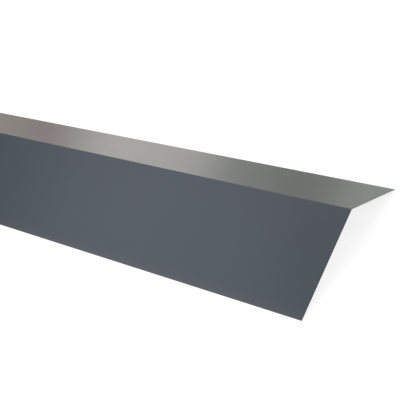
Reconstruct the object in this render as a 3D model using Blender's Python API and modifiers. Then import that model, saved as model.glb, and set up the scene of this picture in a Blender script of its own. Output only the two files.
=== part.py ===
"""Single-fold ridge cap in coated steel sheet, with a closed hem under each long edge.

Metres, +Z up. X runs along the ridge, the two wings fall away towards -Y and +Y, and the
cap stands on its two hemmed edges at Z = 0, with the middle of its footprint at the origin.
"""

import math

import bmesh
import bpy
from mathutils import Matrix, Vector

# Driving dimensions of the folded sheet, all measured on its outer face
LENGTH = 2.0                 # stock length along the ridge
WING_WIDTH = 0.200           # from the sharp ridge line to the outside of the hem
FOLD_ANGLE = 135.0           # degrees between the two wings
SHEET = 0.0006               # thickness of the coated sheet
RIDGE_INNER_RADIUS = 0.0012  # inside of the ridge bend
HEM_WIDTH = 0.015            # from the outside of the hem to its cut edge
HEM_GAP = 0.0004             # between the hem and the wing that it lies under

# Fineness of the rounded stretches
RIDGE_BEND_STEPS = 6         # facets in each half of the ridge bend
HEM_BEND_STEPS = 16          # facets round the fold of a hem

# Coating, as linear red, green, blue
COATING_COLOUR = (0.082, 0.098, 0.117, 1.0)
COATING_ROUGHNESS = 0.38

MERGE_DISTANCE = 0.00001     # doubles closer than this on the ridge line are merged

# Sizes that follow from the driving dimensions
WING_SLOPE = math.radians((180.0 - FOLD_ANGLE) / 2.0)
RIDGE_RADIUS = RIDGE_INNER_RADIUS + SHEET
HEM_RADIUS = SHEET + HEM_GAP / 2.0
WING_FLAT = WING_WIDTH - RIDGE_RADIUS * math.tan(WING_SLOPE) - HEM_RADIUS
HEM_FLAT = HEM_WIDTH - HEM_RADIUS


def clear_scene():
    """Remove every object that the file opened with."""
    for obj in list(bpy.data.objects):
        bpy.data.objects.remove(obj, do_unlink=True)


def coated_steel():
    """Satin anthracite paint over steel sheet."""
    material = bpy.data.materials.new("coated_steel")
    material.use_nodes = True
    shader = material.node_tree.nodes["Principled BSDF"]
    shader.inputs["Base Color"].default_value = COATING_COLOUR
    shader.inputs["Roughness"].default_value = COATING_ROUGHNESS
    shader.inputs["Metallic"].default_value = 0.0
    material.diffuse_color = COATING_COLOUR
    return material


class SheetPath:
    """The outer face of the sheet in section, drawn as a run of flats and bends in the Y-Z plane.

    The heading is the angle below the +Y direction, so a positive bend folds the sheet downwards.
    """

    def __init__(self, start):
        self.points = [Vector(start)]
        self.heading = 0.0

    def flat(self, length):
        """Go straight on for a length."""
        step = Vector((math.cos(self.heading), -math.sin(self.heading))) * length
        self.points.append(self.points[-1] + step)

    def bend(self, radius, angle, steps):
        """Turn through an angle on an arc, with its corner points on the true radius."""
        inward = Vector((-math.sin(self.heading), -math.cos(self.heading)))
        centre = self.points[-1] + inward * radius
        spoke = self.points[-1] - centre
        for i in range(1, steps + 1):
            turn = Matrix.Rotation(-angle * i / steps, 2)
            self.points.append(centre + turn @ spoke)
        self.heading += angle


def half_section():
    """Section of one wing, from the crown of the ridge to the cut edge of its hem."""
    path = SheetPath((0.0, 0.0))
    path.bend(RIDGE_RADIUS, WING_SLOPE, RIDGE_BEND_STEPS)
    path.flat(WING_FLAT)
    path.bend(HEM_RADIUS, math.pi, HEM_BEND_STEPS)
    path.flat(HEM_FLAT)
    floor = min(point.y for point in path.points)
    return [(point.x, point.y - floor) for point in path.points]


def draw_half_sheet(name):
    """Open surface of the +Y wing, drawn out along the ridge from its section."""
    bm = bmesh.new()
    corners = [bm.verts.new((-LENGTH / 2.0, y, z)) for y, z in half_section()]
    edges = [bm.edges.new(pair) for pair in zip(corners, corners[1:])]
    drawn = bmesh.ops.extrude_edge_only(bm, edges=edges)
    far_end = [item for item in drawn["geom"] if isinstance(item, bmesh.types.BMVert)]
    bmesh.ops.translate(bm, verts=far_end, vec=(LENGTH, 0.0, 0.0))
    crown_face = max(bm.faces, key=lambda face: face.calc_center_median().z)
    crown_face.normal_update()
    if crown_face.normal.z < 0.0:
        bmesh.ops.reverse_faces(bm, faces=list(bm.faces))
    mesh = bpy.data.meshes.new(name)
    bm.to_mesh(mesh)
    bm.free()
    return mesh


def ridge_cap_sheet():
    """Both wings of the sheet, given its thickness inwards from the outer face."""
    name = "ridge_cap_sheet"
    sheet = bpy.data.objects.new(name, draw_half_sheet(name))
    sheet.data.materials.append(coated_steel())

    other_wing = sheet.modifiers.new("other_wing", "MIRROR")
    other_wing.use_axis = (False, True, False)
    other_wing.merge_threshold = MERGE_DISTANCE

    thickness = sheet.modifiers.new("sheet_thickness", "SOLIDIFY")
    thickness.thickness = SHEET
    thickness.offset = -1.0
    thickness.use_even_offset = True
    thickness.use_rim = True
    return sheet


def main():
    """Build the cap in its own collection."""
    clear_scene()
    collection = bpy.data.collections.new("ridge_cap")
    bpy.context.scene.collection.children.link(collection)
    collection.objects.link(ridge_cap_sheet())


main()
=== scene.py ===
"""One length of coated steel ridge cap, dressed and lit as a studio picture.

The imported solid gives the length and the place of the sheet. This script folds a finer
sheet inside it, gives each side of the sheet its finish, and sets up the studio and camera.
"""

import logging
import math
from collections.abc import Callable, Iterable, Iterator
from contextlib import contextmanager
from dataclasses import dataclass, field
from enum import Enum, IntEnum

import bmesh
import bpy
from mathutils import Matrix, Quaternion, Vector


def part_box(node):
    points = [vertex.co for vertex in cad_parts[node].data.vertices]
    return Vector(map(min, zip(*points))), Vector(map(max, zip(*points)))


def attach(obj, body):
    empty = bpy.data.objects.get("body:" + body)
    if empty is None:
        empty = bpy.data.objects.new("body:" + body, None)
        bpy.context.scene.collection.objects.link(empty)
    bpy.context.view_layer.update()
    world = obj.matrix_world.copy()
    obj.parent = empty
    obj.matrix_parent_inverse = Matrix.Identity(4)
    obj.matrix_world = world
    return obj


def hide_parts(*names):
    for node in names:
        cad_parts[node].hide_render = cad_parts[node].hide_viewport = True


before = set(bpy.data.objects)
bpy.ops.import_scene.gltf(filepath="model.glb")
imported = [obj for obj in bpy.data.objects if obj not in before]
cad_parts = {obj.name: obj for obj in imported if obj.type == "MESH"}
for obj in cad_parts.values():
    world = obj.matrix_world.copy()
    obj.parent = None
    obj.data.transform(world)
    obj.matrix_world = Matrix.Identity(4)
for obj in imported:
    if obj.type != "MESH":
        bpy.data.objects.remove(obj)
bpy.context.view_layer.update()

LOG = logging.getLogger("ridge_cap")

CAD_NODE = "ridge_cap_sheet"
BLANK_MAP = "blank"          # UV map of the sheet before folding, in metres
BLANK_MIDDLE = 0.5           # V of the ridge line, so that mirroring V keeps it in place
NOISE_MIDDLE = 0.5           # what every noise varies around, by as much each way
MILLIMETRE = 0.001

VECTOR = "NodeSocketVector"
FLOAT = "NodeSocketFloat"

Colour = tuple[float, float, float]
Place = tuple[float, float, float]
Fade = tuple[float, float]   # the value where a mask is empty, and the value where it is full
Socket = bpy.types.NodeSocket
Sockets = bpy.types.NodeOutputs
Inputs = tuple[tuple[str, str, object], ...]
Outputs = tuple[tuple[str, str], ...]


class SheetFace(IntEnum):
    """Material slot of each kind of surface that a folded coil-coated sheet has."""

    OUTER_COAT = 0
    BACKING_COAT = 1
    SHEARED_EDGE = 2


class PanelForm(Enum):
    """How a light or dark panel of the surround is shaped, seen from the sheet."""

    STRIP = "upright strip from floor to ceiling"
    POOL = "round patch"


class MixSocket(IntEnum):
    """Where a Mix node keeps its colour sockets, whose names it gives to other kinds too."""

    SHARE = 0
    FIRST = 6
    SECOND = 7
    RESULT = 2


def deselect_all() -> None:
    """Leave object mode's selection empty, with no active object."""
    bpy.ops.object.select_all(action="DESELECT")
    bpy.context.view_layer.objects.active = None


def make_active(piece: bpy.types.Object) -> None:
    """Select one object alone and make it active.

    Args:
        piece: The object.
    """
    deselect_all()
    piece.select_set(True)
    bpy.context.view_layer.objects.active = piece


@contextmanager
def edit_mode(piece: bpy.types.Object, domain: str = "EDGE") -> Iterator[bmesh.types.BMesh]:
    """Open a piece in edit mode with nothing selected.

    Args:
        piece: The mesh object to edit.
        domain: What is selected by, one of VERT, EDGE and FACE.

    Returns:
        The edit mesh, whose selection the caller sets before each operator.
    """
    make_active(piece)
    bpy.ops.object.mode_set(mode="EDIT")
    bpy.ops.mesh.select_mode(type=domain)
    bpy.ops.mesh.select_all(action="DESELECT")
    try:
        yield bmesh.from_edit_mesh(piece.data)
    finally:
        bpy.ops.object.mode_set(mode="OBJECT")


def select_edges(piece: bpy.types.Object, wanted: Callable[[bmesh.types.BMEdge], bool]) -> None:
    """Select the edges that pass a test, and nothing else.

    Args:
        piece: The object that is open in edit mode.
        wanted: The test, given each edge.
    """
    bpy.ops.mesh.select_all(action="DESELECT")
    edit = bmesh.from_edit_mesh(piece.data)
    for edge in edit.edges:
        if wanted(edge):
            edge.select_set(True)
    edit.select_flush_mode()
    bmesh.update_edit_mesh(piece.data)


def apply_modifier(piece: bpy.types.Object, name: str, kind: str, **settings: object) -> None:
    """Add a modifier to a piece and apply it at once.

    Args:
        piece: The mesh object.
        name: The modifier's name.
        kind: The modifier's type, such as SOLIDIFY.
        settings: The modifier's properties by name.
    """
    modifier = piece.modifiers.new(name, kind)
    for key, value in settings.items():
        setattr(modifier, key, value)
    make_active(piece)
    bpy.ops.object.modifier_apply(modifier=name)


def rgba(colour: Colour) -> tuple[float, float, float, float]:
    """A colour with full alpha, as a colour socket takes it."""
    return (*colour, 1.0)


def grey(level: float) -> Colour:
    """A colour without hue."""
    return (level, level, level)


def heading(azimuth: float, elevation: float) -> Place:
    """The direction at an azimuth and an elevation.

    Args:
        azimuth: Degrees to the left of +Y.
        elevation: Degrees above level.

    Returns:
        The unit vector.
    """
    turn = math.radians(azimuth)
    rise = math.radians(elevation)
    return (-math.sin(turn) * math.cos(rise), math.cos(turn) * math.cos(rise), math.sin(rise))


@dataclass
class ShaderTree:
    """A short hand for building a node tree: nodes by type, and links by socket."""

    tree: bpy.types.NodeTree

    def add(self, kind: str, label: str = "", **settings: object) -> bpy.types.Node:
        """Add a node.

        Args:
            kind: The node's type, such as ShaderNodeMath.
            label: The name shown on the node.
            settings: The node's own properties by name.

        Returns:
            The new node.
        """
        node = self.tree.nodes.new(kind)
        node.label = label
        for key, value in settings.items():
            setattr(node, key, value)
        return node

    def feed(self, socket: Socket, source: object) -> None:
        """Link a socket to another node's output, or set it to a plain value.

        Args:
            socket: The input that is fed.
            source: An output of another node, or the value.
        """
        if isinstance(source, Socket):
            self.tree.links.new(source, socket)
        else:
            socket.default_value = source

    def feed_all(self, node: bpy.types.Node, sources: Iterable[object]) -> None:
        """Feed a node's inputs in their order, from sockets or plain values."""
        for socket, source in zip(node.inputs, sources):
            self.feed(socket, source)

    def math(self, operation: str, *sources: object, clamp: bool = False) -> Socket:
        """Work out one number.

        Args:
            operation: The Math node's operation.
            sources: A socket or a number for each input.
            clamp: Whether the result is kept between 0 and 1.

        Returns:
            The result's socket.
        """
        node = self.add("ShaderNodeMath", operation=operation, use_clamp=clamp)
        self.feed_all(node, sources)
        return node.outputs["Value"]

    def vector(self, operation: str, *sources: object, scale: object = None) -> Socket:
        """Work out a vector, or the number that a dot product gives.

        Args:
            operation: The Vector Math node's operation.
            sources: A socket or a plain vector for each input.
            scale: The factor, which the operation SCALE alone takes.

        Returns:
            The result's socket.
        """
        node = self.add("ShaderNodeVectorMath", operation=operation)
        self.feed_all(node, sources)
        if scale is not None:
            self.feed(node.inputs["Scale"], scale)
        return node.outputs["Value" if operation == "DOT_PRODUCT" else "Vector"]

    def step(self, value: object, start: float, end: float) -> Socket:
        """Rise smoothly from 0 at start to 1 at end, or fall where end is the smaller.

        Args:
            value: A socket or a number.
            start: The value that gives 0.
            end: The value that gives 1.

        Returns:
            The result's socket.
        """
        node = self.add("ShaderNodeMapRange", interpolation_type="SMOOTHSTEP")
        self.feed(node.inputs["Value"], value)
        self.feed(node.inputs["From Min"], start)
        self.feed(node.inputs["From Max"], end)
        return node.outputs["Result"]

    def mix(self, share: object, first: object, second: object, blend: str = "MIX") -> Socket:
        """Mix two colours.

        Args:
            share: How much of the second colour, from 0 to 1.
            first: A colour socket or a colour with alpha.
            second: A colour socket or a colour with alpha.
            blend: The blend type.

        Returns:
            The mixed colour's socket.
        """
        node = self.add("ShaderNodeMix", data_type="RGBA", blend_type=blend)
        self.feed(node.inputs[MixSocket.SHARE], share)
        self.feed(node.inputs[MixSocket.FIRST], first)
        self.feed(node.inputs[MixSocket.SECOND], second)
        return node.outputs[MixSocket.RESULT]

    def noise(self, vector: Socket, scale: object, detail: float = 2.0, roughness: float = 0.5) -> Socket:
        """Smooth noise around its middle.

        Args:
            vector: Where on the surface it is read.
            scale: Waves to the metre, as a socket or a number.
            detail: How many finer noises lie over the first.
            roughness: How strong each finer noise is against the one before.

        Returns:
            The noise's socket.
        """
        node = self.add("ShaderNodeTexNoise")
        self.feed(node.inputs["Vector"], vector)
        self.feed(node.inputs["Scale"], scale)
        self.feed(node.inputs["Detail"], detail)
        self.feed(node.inputs["Roughness"], roughness)
        return node.outputs["Fac"]

    def bump(self, relief: Socket) -> Socket:
        """The surface's normal over a relief.

        Args:
            relief: The height at each point, in metres.

        Returns:
            The normal's socket.
        """
        node = self.add("ShaderNodeBump")
        node.inputs["Distance"].default_value = 1.0
        self.feed(node.inputs["Height"], relief)
        return node.outputs["Normal"]


def new_material(name: str) -> tuple[bpy.types.Material, ShaderTree]:
    """Make a material to draw a finish in.

    Args:
        name: The material's name.

    Returns:
        The material and its tree.
    """
    made = bpy.data.materials.new(name)
    made.use_nodes = True
    return made, ShaderTree(made.node_tree)


@dataclass(frozen=True)
class Effect:
    """A shader node group that several finishes share, built once and placed by name."""

    name: str
    inputs: Inputs
    outputs: Outputs

    def group(self) -> bpy.types.NodeTree:
        """The group, made with its sockets on first use.

        Returns:
            The group's tree.
        """
        found = bpy.data.node_groups.get(self.name)
        if found:
            return found
        tree = bpy.data.node_groups.new(self.name, "ShaderNodeTree")
        for name, kind, value in self.inputs:
            socket = tree.interface.new_socket(name, in_out="INPUT", socket_type=kind)
            if value is not None:
                socket.default_value = value
        for name, kind in self.outputs:
            tree.interface.new_socket(name, in_out="OUTPUT", socket_type=kind)
        shader = ShaderTree(tree)
        entry = shader.add("NodeGroupInput")
        result = shader.add("NodeGroupOutput")
        for name, socket in self.draw(shader, entry.outputs).items():
            shader.feed(result.inputs[name], socket)
        return tree

    def draw(self, shader: ShaderTree, given: Sockets) -> dict[str, Socket]:
        """Build the inside of the group.

        Args:
            shader: The group's own tree.
            given: The group's inputs, as sockets.

        Returns:
            The result for each output, by its name.
        """
        raise NotImplementedError

    def place(self, shader: ShaderTree, **sources: object) -> Sockets:
        """Put the group in a material.

        Args:
            shader: The material's tree.
            sources: A socket or a value for each input, by its name in lower case.

        Returns:
            The group node's outputs.
        """
        node = shader.add("ShaderNodeGroup", self.name, node_tree=self.group())
        for name, source in sources.items():
            shader.feed(node.inputs[name.replace("_", " ").capitalize()], source)
        return node.outputs


@dataclass(frozen=True)
class PaintGrain(Effect):
    """Slow shade changes, fine grain and the drawn lines that a coating line leaves along the coil."""

    name: str = "paint_grain"
    inputs: Inputs = (
        ("Blank", VECTOR, None),
        ("Mottle scale", FLOAT, 9.0),
        ("Grain scale", FLOAT, 1100.0),
        ("Line pitch", FLOAT, 900.0),
    )
    outputs: Outputs = (("Mottle", FLOAT), ("Grain", FLOAT), ("Lines", FLOAT))
    line_draw: float = 0.006     # waves along the coil for each wave across it

    def draw(self, shader: ShaderTree, given: Sockets) -> dict[str, Socket]:
        """Three noises on the blank: slow, fine, and drawn out along the coil.

        Args:
            shader: The group's own tree.
            given: The group's inputs, as sockets.

        Returns:
            Each noise, by its name.
        """
        blank = given["Blank"]
        drawn = shader.vector("MULTIPLY", blank, (self.line_draw, 1.0, 1.0))
        return {
            "Mottle": shader.noise(blank, given["Mottle scale"], detail=3.0),
            "Grain": shader.noise(blank, given["Grain scale"], roughness=0.6),
            "Lines": shader.noise(drawn, given["Line pitch"], detail=3.0, roughness=0.65),
        }


@dataclass(frozen=True)
class HandlingMarks(Effect):
    """Hairline rubs from stacking and a few dust specks, each as a mask."""

    name: str = "handling_marks"
    inputs: Inputs = (("Blank", VECTOR, None), ("Rub share", FLOAT, 0.5), ("Speck share", FLOAT, 0.5))
    outputs: Outputs = (("Rubs", FLOAT), ("Specks", FLOAT))
    rub_angle: float = 7.0               # degrees from the coil's direction
    rub_draw: float = 0.02               # waves along a rub for each wave across it
    rub_pitch: float = 1500.0            # waves to the metre across the rubs
    rub_crest: Fade = (0.69, 0.76)
    patch_scale: float = 6.0             # waves to the metre of the patches that hold rubs
    patch_rise: Fade = (0.52, 0.66)
    speck_pitch: float = 160.0           # cells to the metre, of which few have a speck
    speck_rim: Fade = (0.10, 0.05)       # from a cell's middle, in parts of a cell
    speck_choice: Fade = (0.72, 0.78)    # on a cell's own random number

    def draw(self, shader: ShaderTree, given: Sockets) -> dict[str, Socket]:
        """Rubs are the crests of a long thin noise inside patches, and specks are small cells.

        Args:
            shader: The group's own tree.
            given: The group's inputs, as sockets.

        Returns:
            Each mask, by its name.
        """
        blank = given["Blank"]
        turned = shader.add("ShaderNodeVectorRotate", rotation_type="Z_AXIS")
        shader.feed(turned.inputs["Vector"], blank)
        shader.feed(turned.inputs["Angle"], math.radians(self.rub_angle))
        thin = shader.vector("MULTIPLY", turned.outputs["Vector"], (self.rub_draw, 1.0, 1.0))
        crests = shader.step(shader.noise(thin, self.rub_pitch, detail=1.0), *self.rub_crest)
        patches = shader.step(shader.noise(blank, self.patch_scale), *self.patch_rise)
        rubs = shader.math("MULTIPLY", crests, patches)

        cells = shader.add("ShaderNodeTexVoronoi", feature="F1")
        shader.feed(cells.inputs["Vector"], blank)
        shader.feed(cells.inputs["Scale"], self.speck_pitch)
        near = shader.step(cells.outputs["Distance"], *self.speck_rim)
        random = shader.add("ShaderNodeSeparateColor")
        shader.feed(random.inputs["Color"], cells.outputs["Color"])
        chosen = shader.step(random.outputs["Red"], *self.speck_choice)
        specks = shader.math("MULTIPLY", near, chosen)
        return {
            "Rubs": shader.math("MULTIPLY", rubs, given["Rub share"]),
            "Specks": shader.math("MULTIPLY", specks, given["Speck share"]),
        }


@dataclass(frozen=True)
class SheetEdges(Effect):
    """How near a point is to a bend, a sheared edge or the front hem, measured along the blank."""

    name: str = "sheet_edges"
    inputs: Inputs = (
        ("Blank", VECTOR, None),
        ("Length", FLOAT, 2.0),
        ("Hem fold", FLOAT, 0.2),
        ("Girth", FLOAT, 0.215),
        ("Bend reach", FLOAT, 0.002),
        ("Shear reach", FLOAT, 0.002),
        ("Hem light reach", FLOAT, 0.032),
    )
    outputs: Outputs = (("Bends", FLOAT), ("Shears", FLOAT), ("Front hem light", FLOAT))
    hem_light_falloff: float = 3.0     # power by which the painted light fades away from the hem's fold

    def draw(self, shader: ShaderTree, given: Sockets) -> dict[str, Socket]:
        """Distances along and across the blank, turned into masks that fade within a reach.

        Args:
            shader: The group's own tree.
            given: The group's inputs, as sockets.

        Returns:
            Each mask, by its name.
        """
        split = shader.add("ShaderNodeSeparateXYZ")
        shader.feed(split.inputs["Vector"], given["Blank"])
        along = split.outputs["X"]
        offset = shader.math("SUBTRACT", split.outputs["Y"], BLANK_MIDDLE)
        across = shader.math("ABSOLUTE", offset)
        from_hem = shader.math("ABSOLUTE", shader.math("SUBTRACT", across, given["Hem fold"]))
        to_bend = shader.math("MINIMUM", across, from_hem)
        to_end = shader.math("MINIMUM", along, shader.math("SUBTRACT", given["Length"], along))
        to_shear = shader.math("MINIMUM", to_end, shader.math("SUBTRACT", given["Girth"], across))
        # The front hem's mask carries painted light: a lighter band along the fold of the front wing's hem
        # alone.
        near_hem = self._near(shader, from_hem, given["Hem light reach"])
        hem_light = shader.math("POWER", near_hem, self.hem_light_falloff)
        front = shader.math("LESS_THAN", offset, 0.0)
        return {
            "Bends": self._near(shader, to_bend, given["Bend reach"]),
            "Shears": self._near(shader, to_shear, given["Shear reach"]),
            "Front hem light": shader.math("MULTIPLY", hem_light, front),
        }

    def _near(self, shader: ShaderTree, distance: Socket, reach: Socket) -> Socket:
        """1 at no distance, falling evenly to 0 at a reach."""
        return shader.math("SUBTRACT", 1.0, shader.math("DIVIDE", distance, reach), clamp=True)


@dataclass(frozen=True)
class CoilCoat:
    """Baked paint on one side of coil-coated steel."""

    name: str
    colour: Colour
    gloss_roughness: float
    mottle: float            # share by which the shade wanders over a hand's width
    grain: float             # share by which the shade varies from grain to grain
    mottle_gloss: float      # roughness by which the gloss wanders over a hand's width
    line_gloss: float        # roughness by which the gloss changes from one drawn line to the next
    grain_depth: float       # metres of relief in the paint's skin
    line_depth: float        # metres of relief in the drawn lines
    rubs: float              # strength of hairline rubs, from 0 to 1
    specks: float            # strength of dust specks, from 0 to 1
    bend_painted_light: float        # factor on the shade along the bends: a painted highlight above 1, painted shade in the bends' hollows below 1
    shear_shade: float       # factor on the shade beside a sheared edge
    front_hem_painted_light: float = 0.0    # share of painted light, a lighter band along the fold of the front hem
    ior: float = 1.5
    # colour of the painted light along the front hem's fold
    hem_light_colour: Colour = (0.30, 0.28, 0.27)
    rub_colour: Colour = (0.30, 0.31, 0.32)
    dust_colour: Colour = (0.42, 0.40, 0.37)
    dust_roughness: float = 0.40

    def material(self, sheet: "FoldedSheet") -> bpy.types.Material:
        """The finish as a material.

        Args:
            sheet: The sheet that wears it, for the places of its bends and edges.

        Returns:
            The material.
        """
        made, shader = new_material(self.name)
        paint = shader.tree.nodes["Principled BSDF"]
        paint.inputs["IOR"].default_value = self.ior
        blank = shader.add("ShaderNodeUVMap", uv_map=BLANK_MAP).outputs["UV"]

        grain = PaintGrain().place(shader, blank=blank)
        marks = HandlingMarks().place(shader, blank=blank, rub_share=self.rubs, speck_share=self.specks)
        edges = SheetEdges().place(
            shader, blank=blank, length=sheet.length, hem_fold=sheet.hem_fold_girth, girth=sheet.half_girth
        )
        shader.feed(paint.inputs["Base Color"], self._colour(shader, grain, marks, edges))
        shader.feed(paint.inputs["Roughness"], self._roughness(shader, grain, marks))
        relief = shader.math("MULTIPLY", grain["Grain"], self.grain_depth)
        relief = shader.math("ADD", relief, shader.math("MULTIPLY", grain["Lines"], self.line_depth))
        shader.feed(paint.inputs["Normal"], shader.bump(relief))
        return made

    def _colour(self, shader: ShaderTree, grain: Sockets, marks: Sockets, edges: Sockets) -> Socket:
        """The paint's own shade, with a painted highlight along the bends, painted shade inside them, a
        change beside edges, painted light along the front hem's fold, and rubs and dust over it.

        Args:
            shader: The material's tree.
            grain: What the effect PaintGrain gives.
            marks: What the effect HandlingMarks gives.
            edges: What the effect SheetEdges gives.

        Returns:
            The colour's socket.
        """
        shade = shader.math("ADD", 1.0, self._wander(shader, grain["Mottle"], self.mottle))
        shade = shader.math("ADD", shade, self._wander(shader, grain["Grain"], self.grain))
        # painted highlight along the bends on the outer coat, painted shade inside them on the backing coat
        shade = shader.math("MULTIPLY", shade, self._local(shader, edges["Bends"], self.bend_painted_light))
        shade = shader.math("MULTIPLY", shade, self._local(shader, edges["Shears"], self.shear_shade))
        base = shader.vector("SCALE", self.colour, scale=shade)
        # painted light: a lighter band along the front hem's fold
        hem_light_share = shader.math("MULTIPLY", edges["Front hem light"], self.front_hem_painted_light)
        hem_lit = shader.mix(hem_light_share, base, rgba(self.hem_light_colour))
        rubbed = shader.mix(marks["Rubs"], hem_lit, rgba(self.rub_colour))
        return shader.mix(marks["Specks"], rubbed, rgba(self.dust_colour))

    def _roughness(self, shader: ShaderTree, grain: Sockets, marks: Sockets) -> Socket:
        """The gloss, changed from line to line and place to place, and dull under dust.

        Args:
            shader: The material's tree.
            grain: What the effect PaintGrain gives.
            marks: What the effect HandlingMarks gives.

        Returns:
            The roughness's socket.
        """
        lines = self._wander(shader, grain["Lines"], self.line_gloss)
        mottle = self._wander(shader, grain["Mottle"], self.mottle_gloss)
        dust = shader.math("MULTIPLY", marks["Specks"], self.dust_roughness)
        rough = shader.math("ADD", self.gloss_roughness, lines)
        rough = shader.math("ADD", rough, mottle)
        return shader.math("ADD", rough, dust, clamp=True)

    def _wander(self, shader: ShaderTree, noise: Socket, reach: float) -> Socket:
        """Noise around zero, with a reach each way."""
        return shader.math("MULTIPLY", shader.math("SUBTRACT", noise, NOISE_MIDDLE), reach / NOISE_MIDDLE)

    def _local(self, shader: ShaderTree, mask: Socket, factor: float) -> Socket:
        """A factor that is 1 outside a mask and reaches its value inside."""
        return shader.math("ADD", 1.0, shader.math("MULTIPLY", mask, factor - 1.0))


@dataclass(frozen=True)
class ShearedSteel:
    """The bare section of the sheet at a guillotined edge: scored steel, torn in places."""

    name: str = "sheared_steel"
    cut_colour: Colour = (0.20, 0.20, 0.205)
    torn_colour: Colour = (0.09, 0.088, 0.086)
    roughness: float = 0.48
    torn_roughness: float = 0.2               # what a torn place adds
    score_draw: Place = (40.0, 900.0, 260.0)  # how close the scores lie each way
    score_scale: float = 6.0
    score_depth: float = 0.02 * MILLIMETRE
    torn_scale: float = 420.0                 # waves to the metre of the torn places
    torn_rise: Fade = (0.42, 0.58)

    def material(self) -> bpy.types.Material:
        """The finish as a material.

        Returns:
            The material.
        """
        made, shader = new_material(self.name)
        steel = shader.tree.nodes["Principled BSDF"]
        steel.inputs["Metallic"].default_value = 1.0
        place = shader.add("ShaderNodeTexCoord").outputs["Object"]
        scores = shader.vector("MULTIPLY", place, self.score_draw)
        scored = shader.noise(scores, self.score_scale, detail=3.0)
        torn = shader.step(shader.noise(place, self.torn_scale), *self.torn_rise)
        shade = shader.mix(torn, rgba(self.cut_colour), rgba(self.torn_colour))
        shader.feed(steel.inputs["Base Color"], shader.mix(scored, shade, rgba(self.torn_colour)))
        rough = shader.math("ADD", self.roughness, shader.math("MULTIPLY", torn, self.torn_roughness))
        shader.feed(steel.inputs["Roughness"], rough)
        relief = shader.math("MULTIPLY", scored, self.score_depth)
        shader.feed(steel.inputs["Normal"], shader.bump(relief))
        return made


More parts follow.
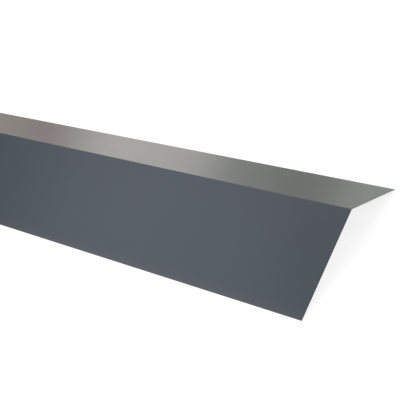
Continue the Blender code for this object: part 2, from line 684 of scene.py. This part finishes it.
@dataclass
class FoldedSheet:
    """The whole cap: one coated sheet, folded along the ridge and hemmed under both long edges."""

    length: float
    crown_height: float           # of the ridge above the floor
    wing_width: float = 0.200     # from the wings' sharp corner to the outside of the hem
    fold_angle: float = 135.0     # degrees between the wings
    thickness: float = 0.0006
    ridge_inner_radius: float = 0.0012
    hem_width: float = 0.015
    hem_gap: float = 0.0004
    hem_cut_back: float = 0.003   # from each end of the sheet
    ridge_steps: int = 6
    hem_steps: int = 16
    wing_divisions: int = 12
    length_divisions: int = 100
    wave_height: float = 0.00012  # by which the flats bow, each way
    wave_length: float = 0.45
    deburr: float = 0.00004       # width of the lip on a sheared edge
    weld_reach: float = 0.00001   # points nearer to each other than this are one
    lip_angle: float = 60.0       # degrees from which an edge counts as sheared
    smooth_angle: float = 30.0    # degrees up to which neighbouring faces shade as one
    flat_weight: int = 100        # how strongly a large face sets its edges' normals, up to 100
    finishes: dict[SheetFace, bpy.types.Material] = field(default_factory=dict)

    @property
    def slope(self) -> float:
        """How far each wing falls below level, in radians."""
        return math.radians((180.0 - self.fold_angle) / 2.0)

    @property
    def ridge_radius(self) -> float:
        """Outer radius of the ridge bend."""
        return self.ridge_inner_radius + self.thickness

    @property
    def hem_radius(self) -> float:
        """Outer radius of a hem's fold."""
        return self.thickness + self.hem_gap / 2.0

    @property
    def wing_flat(self) -> float:
        """Flat width of a wing, between the ridge bend and the hem's fold."""
        return self.wing_width - self.ridge_radius * math.tan(self.slope) - self.hem_radius

    @property
    def hem_flat(self) -> float:
        """Flat width of a hem, from its fold to its sheared edge."""
        return self.hem_width - self.hem_radius

    @property
    def hem_fold_girth(self) -> float:
        """Way along the sheet from the ridge line to the middle of the hem's fold."""
        return self.ridge_radius * self.slope + self.wing_flat + self.hem_radius * math.pi / 2.0

    @property
    def half_girth(self) -> float:
        """Way along the sheet from the ridge line to the sheared edge of the hem."""
        return self.hem_fold_girth + self.hem_radius * math.pi / 2.0 + self.hem_flat

    @property
    def down_slope(self) -> Vector:
        """Direction down the rear wing."""
        return Vector((0.0, math.cos(self.slope), -math.sin(self.slope)))

    @property
    def outward(self) -> Vector:
        """Direction out of the rear wing's coated face."""
        return Vector((0.0, math.sin(self.slope), math.cos(self.slope)))

    @property
    def ridge_centre(self) -> Vector:
        """Axis of the ridge bend."""
        return Vector((0.0, 0.0, self.crown_height - self.ridge_radius))

    @property
    def flat_top(self) -> Vector:
        """Where the rear wing's flat leaves the ridge bend."""
        return self.ridge_centre + self.outward * self.ridge_radius

    def build(self) -> bpy.types.Object:
        """Fold the sheet.

        Returns:
            The finished piece, dressed in its finishes.
        """
        piece = self.draw_wing()
        self.turn_hem(piece)
        self.bend_ridge(piece)
        self.mark_blank(piece)
        self.mirror_wing(piece)
        self.divide(piece)
        self.cut_back_hems(piece)
        self.relax_flats(piece)
        self.thicken(piece)
        self.smooth(piece)
        return piece

    def draw_wing(self) -> bpy.types.Object:
        """The flat of the rear wing, from a plane laid on its slope.

        Returns:
            The wing's flat.
        """
        deselect_all()
        middle = self.flat_top + self.down_slope * (self.wing_flat / 2.0)
        bpy.ops.mesh.primitive_plane_add(size=1.0, location=middle, rotation=(-self.slope, 0.0, 0.0))
        piece = bpy.context.object
        piece.name = "folded_sheet"
        piece.data.name = "folded_sheet"
        bpy.ops.transform.resize(value=(self.length, self.wing_flat, 1.0), orient_type="LOCAL")
        bpy.ops.object.transform_apply(location=True, rotation=True, scale=True)
        return piece

    def turn_hem(self, piece: bpy.types.Object) -> None:
        """Fold the hem under the wing's lower edge: half a turn, then its flat.

        Args:
            piece: The rear wing.
        """
        low_edge = self.flat_top + self.down_slope * self.wing_flat
        axis_point = low_edge - self.outward * self.hem_radius
        with edit_mode(piece):
            self._select_line(piece, low_edge)
            bpy.ops.mesh.spin(steps=self.hem_steps, angle=math.pi, center=axis_point, axis=(1.0, 0.0, 0.0))
            self._select_line(piece, axis_point - self.outward * self.hem_radius)
            back_up = -self.down_slope * self.hem_flat
            bpy.ops.mesh.extrude_edges_move(TRANSFORM_OT_translate={"value": back_up})

    def bend_ridge(self, piece: bpy.types.Object) -> None:
        """Carry the wing's upper edge round its half of the ridge bend.

        Args:
            piece: The rear wing.
        """
        with edit_mode(piece) as edit:
            self._select_line(piece, self.flat_top)
            bpy.ops.mesh.spin(
                steps=self.ridge_steps, angle=self.slope, center=self.ridge_centre, axis=(-1.0, 0.0, 0.0)
            )
            bpy.ops.mesh.select_all(action="SELECT")
            bpy.ops.mesh.remove_doubles(threshold=self.weld_reach)
            bpy.ops.mesh.normals_make_consistent(inside=False)
            widest = max(edit.faces, key=lambda face: face.calc_area())
            if widest.normal.dot(self.outward) < 0.0:
                bpy.ops.mesh.flip_normals()

    def mark_blank(self, piece: bpy.types.Object) -> None:
        """Give each point its place on the unfolded blank: along the ridge, and across from it.

        Args:
            piece: The rear wing.
        """
        with edit_mode(piece) as edit:
            blank = edit.loops.layers.uv.new(BLANK_MAP)
            across = self._girths(edit)
            for face in edit.faces:
                for loop in face.loops:
                    along = loop.vert.co.x + self.length / 2.0
                    loop[blank].uv = (along, BLANK_MIDDLE + across[loop.vert.index])
            bmesh.update_edit_mesh(piece.data)

    def mirror_wing(self, piece: bpy.types.Object) -> None:
        """Make the front wing from the rear one, joined along the ridge line.

        Args:
            piece: The rear wing.
        """
        apply_modifier(
            piece,
            "front_wing",
            "MIRROR",
            use_axis=(False, True, False),
            merge_threshold=self.weld_reach,
            use_mirror_v=True,
        )

    def divide(self, piece: bpy.types.Object) -> None:
        """Divide the sheet along the ridge, and its wide flats across, so that they can bow.

        Args:
            piece: The sheet.
        """
        with edit_mode(piece):
            select_edges(piece, self._runs_along)
            bpy.ops.mesh.subdivide(number_cuts=self.length_divisions - 1)
            select_edges(piece, self._crosses_flat)
            bpy.ops.mesh.subdivide(number_cuts=self.wing_divisions - 1)

    def cut_back_hems(self, piece: bpy.types.Object) -> None:
        """Take the hems' undersides off next to the ends, where the cap shows a single sheet.

        Args:
            piece: The sheet.
        """
        last = self.length / 2.0 - self.hem_cut_back
        with edit_mode(piece, "FACE") as edit:
            for side in (-1.0, 1.0):
                bpy.ops.mesh.select_all(action="SELECT")
                bpy.ops.mesh.bisect(plane_co=(side * last, 0.0, 0.0), plane_no=(side, 0.0, 0.0))
            bpy.ops.mesh.select_all(action="DESELECT")
            for face in edit.faces:
                middle = face.calc_center_median()
                _, rise = self._on_wing(middle)
                face.select_set(abs(middle.x) > last and rise < -self.hem_radius)
            bmesh.update_edit_mesh(piece.data)
            bpy.ops.mesh.delete(type="FACE")

    def relax_flats(self, piece: bpy.types.Object) -> None:
        """Bow the wide flats by a little, as thin sheet lies between its stiff folds.

        Args:
            piece: The sheet.
        """
        group = piece.vertex_groups.new(name="wing_flats")
        for vertex in piece.data.vertices:
            down, rise = self._on_wing(vertex.co)
            share = down / self.wing_flat
            if 0.0 < share < 1.0 and abs(rise) < self.hem_radius:
                group.add([vertex.index], math.sin(math.pi * share) ** 2, "REPLACE")
        slow = bpy.data.textures.new("slow_waves", "CLOUDS")
        slow.noise_scale = self.wave_length
        slow.noise_depth = 1
        apply_modifier(
            piece,
            "bowed_flats",
            "DISPLACE",
            texture=slow,
            direction="NORMAL",
            vertex_group=group.name,
            mid_level=NOISE_MIDDLE,
            strength=self.wave_height / NOISE_MIDDLE,
        )
        piece.vertex_groups.clear()

    def thicken(self, piece: bpy.types.Object) -> None:
        """Give the sheet its thickness inwards, each kind of surface its slot, and the edges a soft lip.

        Args:
            piece: The sheet.
        """
        for face in SheetFace:
            piece.data.materials.append(self.finishes[face])
        apply_modifier(
            piece,
            "sheet_thickness",
            "SOLIDIFY",
            thickness=self.thickness,
            offset=-1.0,
            use_even_offset=True,
            material_offset=SheetFace.BACKING_COAT.value,
            material_offset_rim=SheetFace.SHEARED_EDGE.value,
        )
        apply_modifier(
            piece,
            "sheared_lip",
            "BEVEL",
            width=self.deburr,
            segments=1,
            limit_method="ANGLE",
            angle_limit=math.radians(self.lip_angle),
        )

    def smooth(self, piece: bpy.types.Object) -> None:
        """Shade the bends smooth, with the flats' own normals kept flat.

        Args:
            piece: The sheet.
        """
        make_active(piece)
        bpy.ops.object.shade_smooth_by_angle(angle=math.radians(self.smooth_angle))
        apply_modifier(piece, "flat_normals", "WEIGHTED_NORMAL", keep_sharp=True, weight=self.flat_weight)

    def _on_wing(self, point: Vector) -> tuple[float, float]:
        """How far a point of either wing lies down its slope and above its coated face."""
        offset = Vector((0.0, abs(point.y), point.z)) - self.flat_top
        return offset.dot(self.down_slope), offset.dot(self.outward)

    def _select_line(self, piece: bpy.types.Object, point: Vector) -> None:
        """Select the edges along the ridge direction that pass through a point of the section.

        Args:
            piece: The rear wing.
            point: The point, of which X doesn't count.
        """

        def on_line(edge: bmesh.types.BMEdge) -> bool:
            """Whether an edge is on that line."""
            return self._runs_along(edge) and (edge.verts[0].co.yz - point.yz).length < self.weld_reach

        select_edges(piece, on_line)

    def _runs_along(self, edge: bmesh.types.BMEdge) -> bool:
        """Whether an edge runs along the ridge direction."""
        first, second = (vertex.co for vertex in edge.verts)
        return (first.yz - second.yz).length < self.weld_reach

    def _crosses_flat(self, edge: bmesh.types.BMEdge) -> bool:
        """Whether an edge runs across one of the wide flats."""
        return not self._runs_along(edge) and edge.calc_length() > self.hem_width

    def _girths(self, edit: bmesh.types.BMesh) -> dict[int, float]:
        """Way along the section from the ridge line to each point.

        Args:
            edit: The half sheet, before it is divided along the ridge.

        Returns:
            The distance in metres by vertex index.
        """
        edit.verts.index_update()
        edit.verts.ensure_lookup_table()
        ways: dict[int, float] = {}
        for start in [vertex for vertex in edit.verts if abs(vertex.co.y) < self.weld_reach]:
            ways[start.index] = 0.0
            here = start
            while here is not None:
                onward = None
                for edge in here.link_edges:
                    other = edge.other_vert(here)
                    if other.index not in ways and not self._runs_along(edge):
                        ways[other.index] = ways[here.index] + edge.calc_length()
                        onward = other
                here = onward
        return ways


@dataclass(frozen=True)
class SurroundPanel:
    """A lighter or darker part of the studio that the coating mirrors."""

    azimuth: float           # degrees to the left of +Y, seen from above
    half_width: float        # degrees
    softness: float          # degrees over which its edge fades, each way
    colour: Colour
    form: PanelForm = PanelForm.STRIP
    elevation: float = 0.0   # degrees above the horizon, for a pool

    def mask(self, shader: ShaderTree, seen: Socket) -> Socket:
        """How much of the panel shows in a direction, from 0 to 1.

        Args:
            shader: The surround's tree.
            seen: The direction, without its height for a strip.

        Returns:
            The share's socket.
        """
        match = shader.vector("DOT_PRODUCT", seen, heading(self.azimuth, self.elevation))
        outer = math.cos(math.radians(self.half_width + self.softness))
        inner = math.cos(math.radians(max(self.half_width - self.softness, 0.0)))
        return shader.step(match, outer, inner)


@dataclass(frozen=True)
class Surround:
    """The studio's walls: white to the camera, even for diffuse light, and panelled in the gloss."""

    light_level: float
    wall_colour: Colour
    floor_share: float       # how light the floor is mirrored, against the walls
    floor_end: float         # degrees above the horizon where the floor ends
    wall_start: float        # degrees above the horizon where the walls have their full tone
    panels: tuple[SurroundPanel, ...]

    def build(self) -> bpy.types.World:
        """Set up the world.

        Returns:
            The world, already used by the scene.
        """
        world = bpy.data.worlds.new("studio_surround")
        world.use_nodes = True
        bpy.context.scene.world = world
        shader = ShaderTree(world.node_tree)
        background = world.node_tree.nodes["Background"]
        rays = shader.add("ShaderNodeLightPath").outputs
        shown = shader.math("MAXIMUM", rays["Is Camera Ray"], rays["Is Transmission Ray"])
        lit = shader.mix(rays["Is Glossy Ray"], rgba(grey(self.light_level)), self._mirrored(shader))
        shader.feed(background.inputs["Color"], shader.mix(shown, lit, rgba(grey(1.0))))
        return world

    def _mirrored(self, shader: ShaderTree) -> Socket:
        """What gloss sees in a direction: the panels before the walls, all darker towards the floor.

        Args:
            shader: The surround's tree.

        Returns:
            The colour's socket.
        """
        direction = shader.add("ShaderNodeTexCoord").outputs["Generated"]
        level = shader.vector("MULTIPLY", direction, (1.0, 1.0, 0.0))
        horizontal = shader.vector("NORMALIZE", level)
        walls: object = rgba(self.wall_colour)
        for panel in self.panels:
            seen = horizontal if panel.form is PanelForm.STRIP else direction
            walls = shader.mix(panel.mask(shader, seen), walls, rgba(panel.colour))
        floor = shader.mix(1.0, walls, rgba(grey(self.floor_share)), blend="MULTIPLY")
        height = shader.vector("DOT_PRODUCT", direction, (0.0, 0.0, 1.0))
        end, start = (math.sin(math.radians(rise)) for rise in (self.floor_end, self.wall_start))
        return shader.mix(shader.step(height, end, start), floor, walls)


@dataclass(frozen=True)
class Softbox:
    """A large square lamp that lights the sheet and casts its shadow, out of the camera's sight."""

    name: str
    place: Place
    aim: Place
    side: float              # metres
    power: float             # watts

    def build(self) -> bpy.types.Object:
        """Hang the lamp.

        Returns:
            The lamp object.
        """
        deselect_all()
        bpy.ops.object.light_add(type="AREA", location=self.place)
        lamp = bpy.context.object
        lamp.name = self.name
        lamp.data.shape = "SQUARE"
        lamp.data.size = self.side
        lamp.data.energy = self.power
        lamp.rotation_mode = "QUATERNION"
        lamp.rotation_quaternion = (Vector(self.aim) - Vector(self.place)).to_track_quat("-Z", "Y")
        lamp.visible_camera = False
        lamp.visible_glossy = False
        return lamp


@dataclass(frozen=True)
class StudioFloor:
    """A plain pale floor that shows white to the camera and keeps a soft shadow."""

    side: float = 16.0
    drop: float = 0.0001         # below the hems, so that the two never share a plane
    glow: float = 0.75           # share of white that no shadow takes away
    shadow_share: float = 0.39   # how strongly the camera sees light and shadow on it
    colour: Colour = grey(0.80)
    bounce: float = 0.20         # light that reaches the underside, as from a lit table

    def build(self) -> bpy.types.Object:
        """Lay the floor.

        Returns:
            The floor, marked as stage.
        """
        deselect_all()
        bpy.ops.mesh.primitive_plane_add(size=self.side, location=(0.0, 0.0, -self.drop))
        floor = bpy.context.object
        floor.name = "studio_floor"
        bpy.ops.object.transform_apply(location=True, rotation=True, scale=True)
        floor.data.materials.append(self.material())
        floor.visible_glossy = False
        return floor

    def material(self) -> bpy.types.Material:
        """White with a share of true shading for the camera, pale paint for all other light.

        Returns:
            The floor's material.
        """
        made, shader = new_material("studio_floor")
        shader.tree.nodes.remove(shader.tree.nodes["Principled BSDF"])
        pale = self._lit(shader, self.colour, self.bounce)
        shown = self._lit(shader, grey(self.shadow_share), self.glow)
        camera_ray = shader.add("ShaderNodeLightPath").outputs["Is Camera Ray"]
        top = self._blend(shader, camera_ray, pale, shown)
        below = shader.add("ShaderNodeNewGeometry").outputs["Backfacing"]
        clear = shader.add("ShaderNodeBsdfTransparent").outputs["BSDF"]
        output = shader.tree.nodes["Material Output"]
        shader.feed(output.inputs["Surface"], self._blend(shader, below, top, clear))
        return made

    def _lit(self, shader: ShaderTree, colour: Colour, glow: float) -> Socket:
        """Plain paint of one colour that gives off some white light of its own.

        Args:
            shader: The material's tree.
            colour: The paint's colour.
            glow: The strength of its own light.

        Returns:
            The shader's socket.
        """
        paint = shader.add("ShaderNodeBsdfDiffuse")
        paint.inputs["Color"].default_value = rgba(colour)
        light = shader.add("ShaderNodeEmission")
        light.inputs["Strength"].default_value = glow
        both = shader.add("ShaderNodeAddShader")
        shader.feed_all(both, (paint.outputs["BSDF"], light.outputs["Emission"]))
        return both.outputs["Shader"]

    def _blend(self, shader: ShaderTree, share: Socket, first: Socket, second: Socket) -> Socket:
        """Two shaders mixed by a share.

        Args:
            shader: The material's tree.
            share: How much of the second, from 0 to 1.
            first: The shader at no share.
            second: The shader at full share.

        Returns:
            The mixed shader's socket.
        """
        node = shader.add("ShaderNodeMixShader")
        shader.feed_all(node, (share, first, second))
        return node.outputs["Shader"]


@dataclass(frozen=True)
class PhotoCamera:
    """The camera's stand, worked out from the perspective of the sheet's straight edges."""

    place: Place = (1.3825, -0.8365, 0.7129)
    azimuth: float = 39.048      # degrees from +Y towards -X
    elevation: float = 32.587    # degrees above the horizon
    roll: float = 10.184         # degrees that the camera leans to its right
    lens: float = 63.222         # millimetres
    sensor: float = 36.0         # millimetres

    def build(self) -> bpy.types.Object:
        """Set up the camera.

        Returns:
            The camera, already used by the scene.
        """
        deselect_all()
        bpy.ops.object.camera_add(location=self.place)
        camera = bpy.context.object
        camera.name = "photo_camera"
        upright = Vector(heading(self.azimuth, -self.elevation)).to_track_quat("-Z", "Y")
        camera.rotation_mode = "QUATERNION"
        camera.rotation_quaternion = upright @ Quaternion((0.0, 0.0, 1.0), -math.radians(self.roll))
        camera.data.sensor_width = self.sensor
        camera.data.lens = self.lens
        bpy.context.scene.camera = camera
        return camera


OUTER_COAT = CoilCoat(
    name="anthracite_coat",
    colour=(0.068, 0.081, 0.100),
    gloss_roughness=0.22,
    mottle=0.02,
    grain=0.04,
    mottle_gloss=0.03,
    line_gloss=0.04,
    grain_depth=0.002 * MILLIMETRE,
    line_depth=0.0006 * MILLIMETRE,
    rubs=0.08,
    specks=0.15,
    # painted highlight along the ridge and hem bends
    bend_painted_light=1.06,
    shear_shade=0.85,
    # painted light along the front hem's fold
    front_hem_painted_light=0.09,
)

BACKING_COAT = CoilCoat(
    name="grey_backing_coat",
    colour=(0.50, 0.51, 0.50),
    gloss_roughness=0.46,
    mottle=0.03,
    grain=0.05,
    mottle_gloss=0.05,
    line_gloss=0.08,
    grain_depth=0.003 * MILLIMETRE,
    line_depth=0.002 * MILLIMETRE,
    rubs=0.25,
    specks=0.30,
    # painted shade inside the bends
    bend_painted_light=0.95,
    shear_shade=0.85,
)

SURROUND = Surround(
    light_level=0.65,
    wall_colour=(0.55, 0.57, 0.485),
    floor_share=0.44,
    floor_end=-8.3,
    wall_start=0.2,
    panels=(
        SurroundPanel(azimuth=18.4, half_width=5.9, softness=7.9, colour=(1.34, 1.34, 1.19)),
        SurroundPanel(azimuth=24.4, half_width=1.4, softness=2.9, colour=(0.653, 0.666, 0.53)),
        SurroundPanel(azimuth=49.0, half_width=6.0, softness=0.6, colour=(0.90, 0.81, 0.69)),
        SurroundPanel(azimuth=45.1, half_width=1.5, softness=0.5, colour=(0.77, 0.57, 0.525)),
        SurroundPanel(azimuth=36.9, half_width=5.0, softness=2.8, colour=(1.81, 1.74, 1.59)),
        SurroundPanel(azimuth=87.7, half_width=5.5, softness=8.1, colour=grey(0.03)),
        SurroundPanel(
            azimuth=90.8,
            half_width=10.6,
            softness=0.5,
            colour=(1.0, 1.06, 1.11),
            form=PanelForm.POOL,
            elevation=55.6,
        ),
        SurroundPanel(azimuth=205.0, half_width=16.0, softness=15.0, colour=(0.90, 0.92, 0.90)),
        SurroundPanel(azimuth=258.0, half_width=7.0, softness=9.0, colour=(0.95, 0.96, 0.92)),
    ),
)

KEY_SOFTBOX = Softbox(name="key_softbox", place=(0.6, -1.1, 2.1), aim=(0.5, 0.0, 0.0), side=1.2, power=16.2)


def dress_sheet() -> bpy.types.Object:
    """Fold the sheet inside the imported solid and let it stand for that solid.

    Returns:
        The folded sheet.
    """
    low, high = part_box(CAD_NODE)
    sheet = FoldedSheet(length=high[0] - low[0], crown_height=high[2])
    sheet.finishes = {
        SheetFace.OUTER_COAT: OUTER_COAT.material(sheet),
        SheetFace.BACKING_COAT: BACKING_COAT.material(sheet),
        SheetFace.SHEARED_EDGE: ShearedSteel().material(),
    }
    piece = sheet.build()
    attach(piece, "root")
    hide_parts(CAD_NODE)
    return piece


def main() -> None:
    """Build the sheet, the studio and the camera, and report each."""
    logging.basicConfig(level=logging.INFO, format="%(name)s: %(message)s")
    piece = dress_sheet()
    LOG.info("%s: %d faces", piece.name, len(piece.data.polygons))
    SURROUND.build()
    for stand in (StudioFloor(), KEY_SOFTBOX, PhotoCamera()):
        LOG.info("%s ready", stand.build().name)
    bpy.context.scene.view_settings.view_transform = "Standard"
    deselect_all()


if __name__ == "__main__":
    main()
